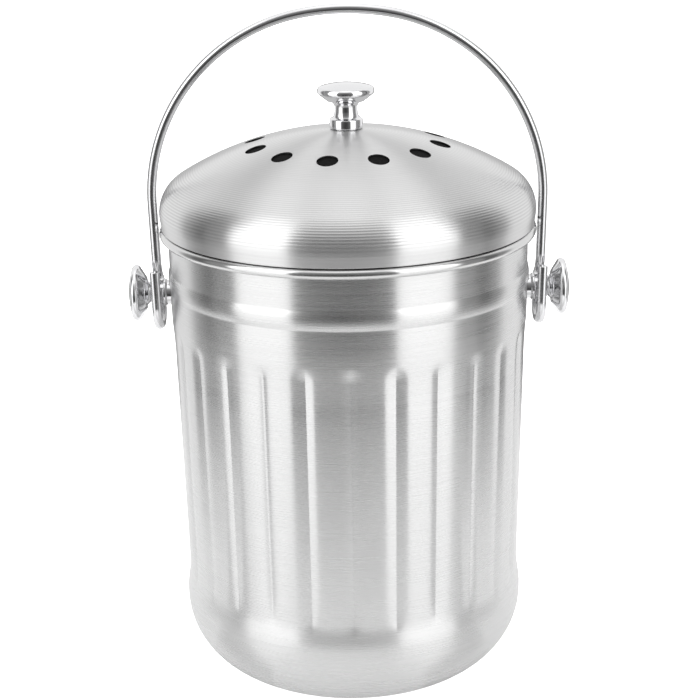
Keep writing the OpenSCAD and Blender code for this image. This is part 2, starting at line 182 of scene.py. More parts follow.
class Skin:
    """Points in millimetres and the faces between them, made into one smooth piece in metres."""

    def __init__(self) -> None:
        """Starts with no points."""
        self.points: list[Point] = []
        self.faces: list[tuple[int, ...]] = []

    def row(self, points: Sequence[Point]) -> list[int]:
        """Adds points.

        Args:
            points: The new points.

        Returns:
            Their numbers.
        """
        first = len(self.points)
        self.points.extend(points)
        return list(range(first, len(self.points)))

    def bridge(self, a: list[int], b: list[int], ring: bool = True) -> None:
        """Fills the strip between two rows.

        Args:
            a: Numbers of the first row, or of one point.
            b: Numbers of the second row, or of one point.
            ring: Whether the rows close on themselves.
        """
        count = max(len(a), len(b))
        for i in range(count if ring else count - 1):
            j = (i + 1) % count
            if len(a) == 1:
                self.faces.append((a[0], b[j], b[i]))
            elif len(b) == 1:
                self.faces.append((a[i], a[j], b[0]))
            else:
                self.faces.append((a[i], a[j], b[j], b[i]))

    def loft(self, rows: Sequence[Sequence[Point]], ring: bool = True) -> None:
        """Adds rows of points and fills the strips between them.

        Args:
            rows: The rows, each of one point or of as many as the others.
            ring: Whether the rows close on themselves.
        """
        numbers = [self.row(r) for r in rows]
        for a, b in zip(numbers, numbers[1:]):
            self.bridge(a, b, ring)

    def build(self, name: str, sharp: float = 35.0) -> bpy.types.Object:
        """Makes the object.

        Args:
            name: Name of the piece.
            sharp: Angle beyond which an edge stays crisp.

        Returns:
            The new object, linked to the scene.
        """
        mesh = bpy.data.meshes.new(name)
        mesh.from_pydata([Vector(p) * MM for p in self.points], [], self.faces)
        work = bmesh.new()
        work.from_mesh(mesh)
        bmesh.ops.remove_doubles(work, verts=work.verts, dist=WELD * MM)
        bmesh.ops.recalc_face_normals(work, faces=work.faces)
        work.to_mesh(mesh)
        work.free()
        mesh.shade_smooth()
        mesh.set_sharp_from_angle(angle=math.radians(sharp))
        piece = bpy.data.objects.new(name, mesh)
        bpy.context.scene.collection.objects.link(piece)
        return piece


def turned(line: Line, columns: int, place: Callable[[float, float, float], Point]) -> Skin:
    """Turns an outline about an axis.

    Args:
        line: Radii and heights from one end of the outline to the other.
        columns: Number of columns round the axis.
        place: Gives a point from its two offsets across the axis and its height along it.

    Returns:
        The turned skin.
    """
    skin = Skin()
    turns = [math.tau * i / columns for i in range(columns)]
    rows: list[list[Point]] = []
    for r, h in line:
        if r < ON_AXIS:
            rows.append([place(0.0, 0.0, h)])
        else:
            rows.append([place(r * math.cos(a), r * math.sin(a), h) for a in turns])
    skin.loft(rows)
    return skin


def upright(height: float) -> Callable[[float, float, float], Point]:
    """Placing for a piece whose axis is Z and whose foot is at a height."""
    return lambda x, y, h: (x, y, height + h)


def outward(side: Side, start: float, height: float) -> Callable[[float, float, float], Point]:
    """Placing for a piece whose axis is the pivot line, counted outward from a distance."""
    return lambda x, y, h: (side.value * (start + h), y, height + x)


# ---- finishes


class Desk:
    """Small helper that adds and links the nodes of one material or world."""

    def __init__(self, tree: bpy.types.NodeTree) -> None:
        """Clears a node tree and keeps it."""
        tree.nodes.clear()
        self.tree = tree

    def add(self, kind: str, **settings: object) -> bpy.types.Node:
        """Adds a node.

        Args:
            kind: The node's type.
            **settings: Its properties.

        Returns:
            The new node.
        """
        node = self.tree.nodes.new(kind)
        for key, value in settings.items():
            setattr(node, key, value)
        return node

    def feed(self, node: bpy.types.Node, socket: str | int, value: object) -> None:
        """Links an output to an input, or sets the input's own value.

        Args:
            node: The node to feed.
            socket: Name or number of its input.
            value: An output of another node, or a plain value.
        """
        if isinstance(value, bpy.types.NodeSocket):
            self.tree.links.new(value, node.inputs[socket])
        else:
            node.inputs[socket].default_value = value

    def math(self, operation: str, *values: object) -> bpy.types.NodeSocket:
        """Adds one arithmetic node.

        Args:
            operation: Name of the operation.
            *values: Its outputs or plain values.

        Returns:
            The result.
        """
        node = self.add("ShaderNodeMath", operation=operation)
        for i, value in enumerate(values):
            self.feed(node, i, value)
        return node.outputs[0]

    def span(self, value: object, low: float, high: float, to_low: float, to_high: float) -> object:
        """Carries a value smoothly from one range into another, held at its ends.

        Args:
            value: The value.
            low: Low end of its range.
            high: High end of its range.
            to_low: Result at the low end.
            to_high: Result at the high end.

        Returns:
            The carried value.
        """
        node = self.add("ShaderNodeMapRange", interpolation_type="SMOOTHSTEP")
        for socket, entry in enumerate((value, low, high, to_low, to_high)):
            self.feed(node, socket, entry)
        return node.outputs[0]

    def vector(self, x: object, y: object, z: object) -> bpy.types.NodeSocket:
        """Puts a vector together.

        Args:
            x: First value.
            y: Second value.
            z: Third value.

        Returns:
            The vector.
        """
        node = self.add("ShaderNodeCombineXYZ")
        for socket, entry in enumerate((x, y, z)):
            self.feed(node, socket, entry)
        return node.outputs[0]

    def radius(self, x: object, y: object) -> bpy.types.NodeSocket:
        """Distance from the axis, of two offsets across it."""
        return self.math("SQRT", self.math("ADD", self.math("MULTIPLY", x, x), self.math("MULTIPLY", y, y)))

    def place(self) -> tuple[bpy.types.NodeSocket, ...]:
        """Reads where the point lies.

        Returns:
            Its three coordinates in the piece's own space.
        """
        coords = self.add("ShaderNodeTexCoord")
        split = self.add("ShaderNodeSeparateXYZ")
        self.feed(split, 0, coords.outputs["Object"])
        return tuple(split.outputs)

    def grain(self, vector: object, scale: float, detail: float, rough: float) -> object:
        """Adds a noise.

        Args:
            vector: Where it is read.
            scale: How fine it is.
            detail: How many finer layers it has.
            rough: Share of the finer layers.

        Returns:
            Its value.
        """
        node = self.add("ShaderNodeTexNoise")
        self.feed(node, "Vector", vector)
        self.feed(node, "Scale", scale)
        self.feed(node, "Detail", detail)
        self.feed(node, "Roughness", rough)
        return node.outputs[0]

    def bump(self, height: object, depth: float, under: object = None) -> object:
        """Raises the surface.

        Args:
            height: Where it stands high.
            depth: How high.
            under: A normal that it adds to.

        Returns:
            The raised normal.
        """
        node = self.add("ShaderNodeBump")
        self.feed(node, "Height", height)
        self.feed(node, "Strength", 1.0)
        self.feed(node, "Distance", depth * MM)
        if under is not None:
            self.feed(node, "Normal", under)
        return node.outputs[0]


def new_material(name: str) -> tuple[bpy.types.Material, Desk, bpy.types.Node]:
    """Makes an empty material.

    Args:
        name: Name of the material.

    Returns:
        The material, the desk for its nodes and its surface shader.
    """
    material = bpy.data.materials.new(name)
    material.use_nodes = True
    desk = Desk(material.node_tree)
    shader = desk.add("ShaderNodeBsdfPrincipled")
    output = desk.add("ShaderNodeOutputMaterial")
    desk.tree.links.new(shader.outputs[0], output.inputs[0])
    return material, desk, shader


@dataclass(frozen=True)
class GrainedSteel:
    """Stainless sheet with fine lines round the axis, as turned brushing or spinning leaves them."""

    name: str
    tone: float = 0.66
    tone_spread: tuple[float, float] = (0.96, 1.03)
    tone_range: tuple[float, float] = (0.25, 0.75)
    roughness: float = 0.28
    anisotropy: float = 0.88
    grain_turn: float = 0.25
    line_scale: float = 3400.0
    line_reach: float = 9.0
    line_depth: float = 0.0009
    line_share: float = 0.6
    patch_scale: float = 18.0
    groove_pitch: float = 0.0
    groove_depth: float = 0.0
    groove_painted_shade: float = 0.0
    groove_wobble: float = 1.6
    wobble_scale: float = 30.0
    groove_radii: tuple[float, float] = (66.0, 86.0)
    groove_inside: float = 0.2
    groove_heights: tuple[float, float] = (237.5, 240.5)
    groove_below: float = 0.1
    polish_above: float = 9000.0
    polish_blend: float = 2.0
    polish: float = 0.62
    mottle: float = 0.05

    def grooves(self, desk: Desk, x: object, y: object, z: object, radius: object, along: object) -> object:
        """Waves of the spinning tool's path, faint near the axis and at the edge.

        Args:
            desk: The material's desk.
            x: First offset across the axis.
            y: Second offset across the axis.
            z: Height.
            radius: Distance from the axis.
            along: Distance along the sheet.

        Returns:
            The waves, from -1 to 1.
        """
        wobble = desk.grain(desk.vector(x, y, along), self.wobble_scale, 2.0, 0.5)
        wobble = desk.math("MULTIPLY", wobble, self.groove_wobble)
        turn = desk.math("MULTIPLY", along, math.tau / (self.groove_pitch * MM))
        wave = desk.math("SINE", desk.math("ADD", turn, wobble))
        near, far = self.groove_radii
        wave = desk.math("MULTIPLY", wave, desk.span(radius, near * MM, far * MM, self.groove_inside, 1.0))
        low, high = self.groove_heights
        return desk.math("MULTIPLY", wave, desk.span(z, low * MM, high * MM, self.groove_below, 1.0))

    def make(self) -> bpy.types.Material:
        """Makes the material.

        Returns:
            The material.
        """
        material, desk, shader = new_material(self.name)
        x, y, z = desk.place()
        radius = desk.radius(x, y)
        along = desk.math("SUBTRACT", radius, z)
        reach = self.line_reach
        lines = desk.grain(
            desk.vector(
                desk.math("MULTIPLY", x, reach),
                desk.math("MULTIPLY", y, reach),
                desk.math("MULTIPLY", along, self.line_scale),
            ),
            1.0,
            3.0,
            0.6,
        )
        broad = desk.grain(desk.vector(x, y, z), self.patch_scale, 2.0, 0.5)
        darkest, lightest = self.tone_spread
        tone = desk.span(lines, *self.tone_range, self.tone * darkest, self.tone * lightest)
        wave = None
        if self.groove_pitch:
            wave = self.grooves(desk, x, y, z, radius, along)
            # Painted shade and highlight: the colour darkens in the grooves' valleys and lightens on their
            # crests, as the light falls on them.
            shade = desk.span(wave, -1.0, 1.0, 1.0 - self.groove_painted_shade, 1.0 + self.groove_painted_shade)
            tone = desk.math("MULTIPLY", tone, shade)
        colour = desk.add("ShaderNodeCombineColor")
        for channel in range(3):
            desk.feed(colour, channel, tone)
        desk.feed(shader, "Base Color", colour.outputs[0])
        uneven = desk.math(
            "ADD",
            desk.math("MULTIPLY", lines, self.line_share),
            desk.math("MULTIPLY", broad, 1.0 - self.line_share),
        )
        low, high = self.roughness - self.mottle, self.roughness + self.mottle
        rough = desk.span(uneven, NOISE_LOW, NOISE_HIGH, low, high)
        start, end = self.polish_above * MM, (self.polish_above + self.polish_blend) * MM
        rough = desk.math("MULTIPLY", rough, desk.span(z, start, end, 1.0, self.polish))
        desk.feed(shader, "Roughness", rough)
        desk.feed(shader, "Metallic", 1.0)
        desk.feed(shader, "Anisotropic", self.anisotropy)
        desk.feed(shader, "Anisotropic Rotation", self.grain_turn)
        tangent = desk.add("ShaderNodeTangent", direction_type="RADIAL", axis="Z")
        desk.feed(shader, "Tangent", tangent.outputs[0])
        normal = desk.bump(lines, self.line_depth)
        if wave is not None:
            normal = desk.bump(wave, self.groove_depth, normal)
        desk.feed(shader, "Normal", normal)
        return material


@dataclass(frozen=True)
class PolishedMetal:
    """Polished or plated metal with faint handling marks."""

    name: str
    tone: tuple[float, float, float] = (0.78, 0.78, 0.79)
    roughness: float = 0.035
    mottle: float = 0.015
    mark_scale: float = 420.0
    mark_depth: float = 0.001
    patch_scale: float = 60.0

    def make(self) -> bpy.types.Material:
        """Makes the material.

        Returns:
            The material.
        """
        material, desk, shader = new_material(self.name)
        x, y, z = desk.place()
        marks = desk.grain(desk.vector(x, y, z), self.mark_scale, 4.0, 0.6)
        patches = desk.grain(desk.vector(x, y, z), self.patch_scale, 2.0, 0.5)
        desk.feed(shader, "Base Color", (*self.tone, 1.0))
        desk.feed(shader, "Metallic", 1.0)
        rough = desk.span(patches, NOISE_LOW, NOISE_HIGH, self.roughness, self.roughness + self.mottle)
        desk.feed(shader, "Roughness", rough)
        desk.feed(shader, "Normal", desk.bump(marks, self.mark_depth))
        return material


@dataclass(frozen=True)
class DullSurface:
    """Rubber, moulded plastic or pressed charcoal felt."""

    name: str
    tone: tuple[float, float, float]
    roughness: float
    grain_scale: float
    grain_depth: float
    fleck: float = 0.0
    fleck_range: tuple[float, float] = (0.35, 0.75)
    mottle: float = 0.05
    gloss: float = 0.5

    def make(self) -> bpy.types.Material:
        """Makes the material.

        Returns:
            The material.
        """
        material, desk, shader = new_material(self.name)
        x, y, z = desk.place()
        grain = desk.grain(desk.vector(x, y, z), self.grain_scale, 4.0, 0.65)
        light = desk.add("ShaderNodeMix", data_type="RGBA")
        desk.feed(light, "Factor", desk.span(grain, *self.fleck_range, 0.0, 1.0))
        desk.feed(light, MIX_COLOUR_A, (*self.tone, 1.0))
        desk.feed(light, MIX_COLOUR_B, (*(c + self.fleck for c in self.tone), 1.0))
        desk.feed(shader, "Base Color", light.outputs[MIX_COLOUR_OUT])
        low, high = self.roughness - self.mottle, self.roughness + self.mottle
        rough = desk.span(grain, NOISE_LOW, NOISE_HIGH, low, high)
        desk.feed(shader, "Roughness", rough)
        desk.feed(shader, "Specular IOR Level", self.gloss)
        desk.feed(shader, "Normal", desk.bump(grain, self.grain_depth))
        return material


@dataclass(frozen=True)
class Finishes:
    """Every finish of the caddy, each made once."""

    body: bpy.types.Material
    lid: bpy.types.Material
    hole_wall_painted_shade: bpy.types.Material
    wire: bpy.types.Material
    chrome: bpy.types.Material
    fastener: bpy.types.Material
    rubber: bpy.types.Material
    felt: bpy.types.Material
    plastic: bpy.types.Material


def make_finishes() -> Finishes:
    """Makes the materials of all the pieces.

    Returns:
        The finishes.
    """
    return Finishes(
        body=GrainedSteel("brushed_sheet", polish_above=224.6).make(),
        lid=GrainedSteel(
            "spun_sheet",
            roughness=0.325,
            anisotropy=0.95,
            groove_pitch=1.8,
            groove_depth=0.032,
            groove_painted_shade=0.1,
        ).make(),
        # Near-black steel for the holes' walls: painted shade, standing in for the shadow inside the
        # punched holes.
        hole_wall_painted_shade=GrainedSteel("punched_edge_painted_shade", tone=0.06, roughness=0.5, anisotropy=0.0).make(),
        wire=PolishedMetal("bail_wire", (0.76, 0.76, 0.77), roughness=0.15, mottle=0.05).make(),
        chrome=PolishedMetal("knob_chrome").make(),
        fastener=PolishedMetal("fastener_steel", (0.6, 0.6, 0.61), roughness=0.28, mottle=0.08).make(),
        rubber=DullSurface(
            "seal_rubber",
            (0.05, 0.05, 0.052),
            roughness=0.6,
            grain_scale=900.0,
            grain_depth=0.02,
            fleck=0.02,
        ).make(),
        felt=DullSurface(
            "charcoal_felt",
            (0.003, 0.003, 0.003),
            roughness=0.95,
            grain_scale=700.0,
            grain_depth=0.3,
            fleck=0.006,
            gloss=0.2,
        ).make(),
        plastic=DullSurface(
            "black_plastic",
            (0.02, 0.02, 0.021),
            roughness=0.45,
            grain_scale=1500.0,
            grain_depth=0.01,
            fleck=0.006,
        ).make(),
    )


def dress(piece: bpy.types.Object, material: bpy.types.Material) -> None:
    """Gives a piece one material in place of any it has."""
    piece.data.materials.clear()
    piece.data.materials.append(material)


def hand_over(
    piece: bpy.types.Object, part: Part, slot: str, material: bpy.types.Material, *nodes: str
) -> None:
    """Dresses a new piece, lets it ride on its part and hides the solids that it stands for.

    Args:
        piece: The new piece.
        part: The part that carries it.
        slot: The record's material slot; not used.
        material: Its finish.
        *nodes: The solids that it replaces.
    """
    dress(piece, material)
    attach(piece, part.value)
    if nodes:
        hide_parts(*nodes)
    log.info("%s rides on %s, %d faces", piece.name, part.value, len(piece.data.polygons))


# ---- bucket


@dataclass
class Bucket:
    """The fluted drawn bucket with its bead, pressed seats and rolled rim."""

    finishes: Finishes
    pivot_z: float
    wall: float = 0.7
    corner_r: float = 36.0
    panel_r: float = 38.0
    panel_rise: float = 1.2
    curl_r: float = 2.4
    curl_turn: float = 310.0
    foot_in: float = 1.7
    bead_drop: float = 24.8
    bead_h: float = 9.6
    bead_proud: float = 0.8
    flutes: int = 26
    flute_bottom: float = 48.0
    flute_drop: float = 19.4
    flute_runout: float = 12.0
    crown_low_in: float = 1.5
    crown_high_in: float = 0.8
    crease_depth: float = 0.95
    crease_reach: float = 7.0
    crease_round: float = 0.35
    crease_fade_top: float = 7.5
    crease_fade_low: float = 12.0
    crease_over: float = 2.0
    crease_under: float = 1.5
    foot_blend: tuple[float, float] = (38.0, 52.5)
    band_blend: tuple[float, float] = (160.0, 194.0)
    bead_edge: float = 0.35
    seat_in: float = 0.6
    seat_r: float = 11.0
    seat_inside: float = 0.7
    seat_ease: float = 2.4
    seat_free: float = 2.5
    columns_per_flute: int = 16
    corner_steps: int = 20
    foot_steps: int = 20
    wall_steps: int = 14
    band_steps: int = 36
    bead_steps: int = 14
    bead_gap_steps: int = 3
    rim_gap_steps: int = 5
    curl_steps: tuple[int, int] = (16, 34)
    inside_steps: int = 10
    rim_r: float = field(init=False)
    rim_z: float = field(init=False)

    def __post_init__(self) -> None:
        """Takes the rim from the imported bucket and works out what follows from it."""
        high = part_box("bucket")[1]
        self.rim_r = high.y / MM
        self.rim_z = high.z / MM
        self.curl_x = self.rim_r - self.curl_r
        self.band_r = self.curl_x - self.curl_r + self.wall
        self.foot_r = self.band_r - self.foot_in
        self.corner_x = self.foot_r - self.corner_r
        self.bead_z = self.rim_z - self.bead_drop
        self.bead_r = (self.bead_h**2 / 4 + self.bead_proud**2) / (2 * self.bead_proud)
        self.flute_top = self.bead_z - self.bead_h / 2 - self.flute_drop
        self.run_low = self.flute_bottom + self.flute_runout / 2
        self.run_high = self.flute_top - self.flute_runout / 2
        self.half_pitch = math.pi / self.flutes

    def crown_at(self, z: float) -> float:
        """Radius of the flute crowns at a height.

        Args:
            z: The height.

        Returns:
            The radius.
        """
        low = self.foot_r - self.crown_low_in
        high = self.band_r - self.crown_high_in
        return low + (z - self.run_low) * (high - low) / (self.run_high - self.run_low)

    def crease_share(self, z: float) -> float:
        """How much of the full crease depth is left, falling away at both ends.

        Args:
            z: The height.

        Returns:
            A share between 0 and 1.
        """
        top = smooth((self.flute_top + self.crease_over - z) / self.crease_fade_top)
        low = smooth((z - self.flute_bottom + self.crease_under) / self.crease_fade_low)
        return top * low

    def crease(self, z: float, turn: float) -> float:
        """Depth of the wall's crease at a point.

        Args:
            z: The point's height.
            turn: Its angle from the middle of its flute, in radians.

        Returns:
            The depth.
        """
        away = (self.half_pitch - abs(turn)) * self.crown_at(z)
        away = math.sqrt(away * away + self.crease_round**2)
        share = max(1 - away / self.crease_reach, 0.0)
        return self.crease_depth * share * share * self.crease_share(z)

    def plain_line(self) -> Line:
        """The wall line without the creases.

        Returns:
            Radii and heights from the edge of the underside to the rim.
        """
        foot_top, crown_foot = self.foot_blend
        crown_top, band_foot = self.band_blend
        half = math.degrees(math.asin(self.bead_h / 2 / self.bead_r))
        bead_x = self.band_r + self.bead_proud - self.bead_r
        low = (self.crown_at(crown_foot), crown_foot)
        high = (self.crown_at(crown_top), crown_top)
        bead = arc(bead_x, self.bead_z, self.bead_r, -half, half, self.bead_steps)
        rim = (self.band_r, self.rim_z - self.curl_r)
        under_bead = (self.band_r, bead[0][1] - self.bead_edge)
        over_bead = (self.band_r, bead[-1][1] + self.bead_edge)
        return [
            *arc(self.corner_x, self.corner_r, self.corner_r, -90, 0, self.corner_steps),
            (self.foot_r, foot_top),
            *ease((self.foot_r, foot_top), low, self.foot_steps)[1:],
            *straight(low, high, self.wall_steps),
            *ease(high, (self.band_r, band_foot), self.band_steps),
            *straight((self.band_r, band_foot), under_bead, self.bead_gap_steps),
            under_bead,
            *bead,
            over_bead,
            *straight(over_bead, rim, self.rim_gap_steps),
        ]

    def columns(self) -> list[tuple[float, float]]:
        """Places the columns, closer together towards the creases.

        Returns:
            Each column's angle round the bucket and its angle from its flute's middle, in radians.
        """
        pairs: list[tuple[float, float]] = []
        for flute in range(self.flutes):
            middle = -math.pi / 2 + (flute + 0.5) * 2 * self.half_pitch
            for i in range(self.columns_per_flute):
                u = -1 + 2 * i / self.columns_per_flute
                turn = self.half_pitch * math.sin(u * math.pi / 2)
                pairs.append((middle + turn, turn))
        return pairs

    def seated(self, x: float, y: float, z: float, inset: float) -> Point:
        """Presses a wall point back where it lies in front of a pivot's flat seat.

        Args:
            x: The point's place along the pivot line.
            y: Its place across that line.
            z: Its height.
            inset: Thickness by which it is set in.

        Returns:
            The point.
        """
        away = math.hypot(y, z - self.pivot_z)
        free = smooth((away - self.seat_r + self.seat_inside) / self.seat_ease)
        limit = self.band_r - self.seat_in - inset + self.seat_free * free
        if abs(x) > limit:
            x = math.copysign(limit, x)
        return (x, y, z)

    def wall_row(self, r: float, z: float, inset: float) -> list[Point]:
        """One level row of the wall.

        Args:
            r: Radius without the creases.
            z: Height of the row.
            inset: Thickness by which it is set in.

        Returns:
            The points.
        """
        row: list[Point] = []
        for angle, turn in self.columns():
            radius = r - self.crease(z, turn) - inset
            row.append(self.seated(radius * math.cos(angle), radius * math.sin(angle), z, inset))
        return row

    def ring_row(self, r: float, z: float) -> list[Point]:
        """One round row."""
        return [(r * math.cos(a), r * math.sin(a), z) for a, _ in self.columns()]

    def rows(self) -> list[list[Point]]:
        """All rows of the shell.

        Returns:
            The rows from the middle of the underside, over the rim, to the middle inside.
        """
        line = self.plain_line()
        rise, t = self.panel_rise, self.wall
        under = [(self.panel_r, rise), (self.panel_r + rise, 0.0)]
        rows: list[list[Point]] = [[(0.0, 0.0, rise)]]
        rows += [self.ring_row(r, z) for r, z in [(self.panel_r * 0.5, rise), *under]]
        rows += [self.wall_row(r, z, 0.0) for r, z in line]
        curl_z = self.rim_z - self.curl_r
        fine, finer = self.curl_steps
        inner_curl = arc(self.curl_x, curl_z, self.curl_r - t, 180, 180 - self.curl_turn, fine)
        outer_curl = arc(self.curl_x, curl_z, self.curl_r, 180 - self.curl_turn, 180, finer)
        rows += [self.ring_row(r, z) for r, z in inner_curl + outer_curl]
        corner = [p for p in line if p[1] < self.corner_r]
        rows += [self.wall_row(r, z, t) for r, z in line[: len(corner) : -2]]
        inside = arc(self.corner_x, self.corner_r, self.corner_r - t, 0, -90, self.inside_steps)[1:]
        rows += [self.ring_row(r, z) for r, z in inside]
        rows += [self.ring_row(r, z + t) for r, z in reversed(under)]
        rows.append([(0.0, 0.0, rise + t)])
        return rows

    def build(self) -> None:
        """Builds and dresses the bucket."""
        skin = Skin()
        skin.loft(self.rows())
        piece = skin.build("bucket_shell", sharp=50.0)
        hand_over(piece, Part.BUCKET, "brushed_steel", self.finishes.body, "bucket")


# ---- knobs


@dataclass
class Knobs:
    """The turned lid knob and the two side knobs, with the sleeves that carry the bail."""

    finishes: Finishes
    pivot_z: float
    head_r: float = 13.9
    neck_r: float = 5.6
    side_neck_r: float = 4.7
    neck_top: float = 10.5
    height: float = 22.0
    rim_r: float = 2.1
    rim_below: float = 3.8
    rim_turn: tuple[float, float] = (-55.0, 72.0)
    flare: tuple[float, float] = (3.4, 2.8)
    base_r: float = 8.1
    base_h: float = 5.0
    base_bevel: float = 0.3
    base_round: float = 0.8
    base_flare: float = 4.2
    side_neck: float = 0.2
    sleeve_r: float = 6.0
    flange_r: float = 7.0
    flange_t: float = 0.9
    flange_round: float = 0.1
    flange_lead: float = 0.15
    stand: float = 3.3
    bore_r: float = 2.7
    bevel: float = 0.2
    columns: int = 96
    sleeve_columns: int = 64
    flare_steps: int = 12
    under_steps: int = 4
    rim_steps: int = 20
    face_steps: int = 16
    base_steps: int = 6
    neck_steps: int = 10

    def head(self, neck_r: float) -> Line:
        """Outline of a mushroom head.

        Args:
            neck_r: Radius of the neck under it.

        Returns:
            Radii and heights from the top of the neck to the middle of the face.
        """
        under = (neck_r + self.flare[0], self.neck_top + self.flare[1])
        flare = cove(under, (neck_r, self.neck_top), self.flare_steps)[::-1]
        rim_x, rim_z = self.head_r - self.rim_r, self.height - self.rim_below
        rim = arc(rim_x, rim_z, self.rim_r, *self.rim_turn, self.rim_steps)
        edge_r, edge_z = rim[-1]
        dome: Line = []
        for i in range(1, self.face_steps + 1):
            u = 1 - i / self.face_steps
            dome.append((edge_r * u, self.height - (self.height - edge_z) * u * u))
        return [*flare, *straight(under, rim[0], self.under_steps), *rim, *dome]

    def lid_line(self) -> Line:
        """Outline of the lid knob.

        Returns:
            Radii and heights from the middle of its underside.
        """
        base, h, bevel, turn = self.base_r, self.base_h, self.base_bevel, self.base_round
        foot = [(0.0, 0.0), (base - bevel, 0.0), (base, bevel), (base, h - turn)]
        shoulder = arc(base - turn, h - turn, turn, 0, 90, self.base_steps)
        neck = cove((base - turn, h), (self.neck_r, h + self.base_flare), self.neck_steps)
        return [*foot, *shoulder, *neck, *self.head(self.neck_r)]

    def side_line(self) -> Line:
        """Outline of a side knob, from the middle of its cut neck."""
        start, r = self.neck_top - self.side_neck, self.side_neck_r
        return [(0.0, start), (r - self.bevel, start), (r, start + self.bevel), *self.head(r)]

    def sleeve_line(self, length: float) -> Line:
        """Closed outline of a pivot sleeve.

        Args:
            length: Its whole length.

        Returns:
            Radii and distances from its inner end.
        """
        r, flange, t, c = self.sleeve_r, self.flange_r, self.flange_t, self.bevel
        back, turn = self.stand - t, self.flange_round
        return [
            (self.bore_r, 0.0),
            (r - c, 0.0),
            (r, c),
            (r, back),
            (flange - self.flange_lead, self.stand - turn),
            (flange, self.stand + turn),
            (flange, self.stand + t - c),
            (flange - c, self.stand + t),
            (r, self.stand + t),
            (r, length - c),
            (r - c, length),
            (self.bore_r, length),
            (self.bore_r, 0.0),
        ]

    def build(self) -> None:
        """Builds and dresses the knobs and sleeves."""
        chrome = self.finishes.chrome
        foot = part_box("lid_knob")[0].z / MM
        knob = turned(self.lid_line(), self.columns, upright(foot)).build("lid_knob_turned")
        hand_over(knob, Part.LID, "chrome", chrome, "lid_knob")
        for side in Side:
            low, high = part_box(f"pivot_sleeve_{side.tag}")
            near, far = sorted((abs(low.x) / MM, abs(high.x) / MM))
            line = self.sleeve_line(far - near)
            sleeve = turned(line, self.sleeve_columns, outward(side, near, self.pivot_z))
            piece = sleeve.build(f"pivot_sleeve_{side.tag}_turned")
            hand_over(piece, Part.BUCKET, "chrome", chrome, f"pivot_sleeve_{side.tag}")
            start = far - (self.neck_top - self.side_neck)
            knob = turned(self.side_line(), self.columns, outward(side, start, self.pivot_z))
            piece = knob.build(f"side_knob_{side.tag}_turned")
            hand_over(piece, Part.BUCKET, "chrome", chrome, f"side_knob_{side.tag}")


# ---- bail


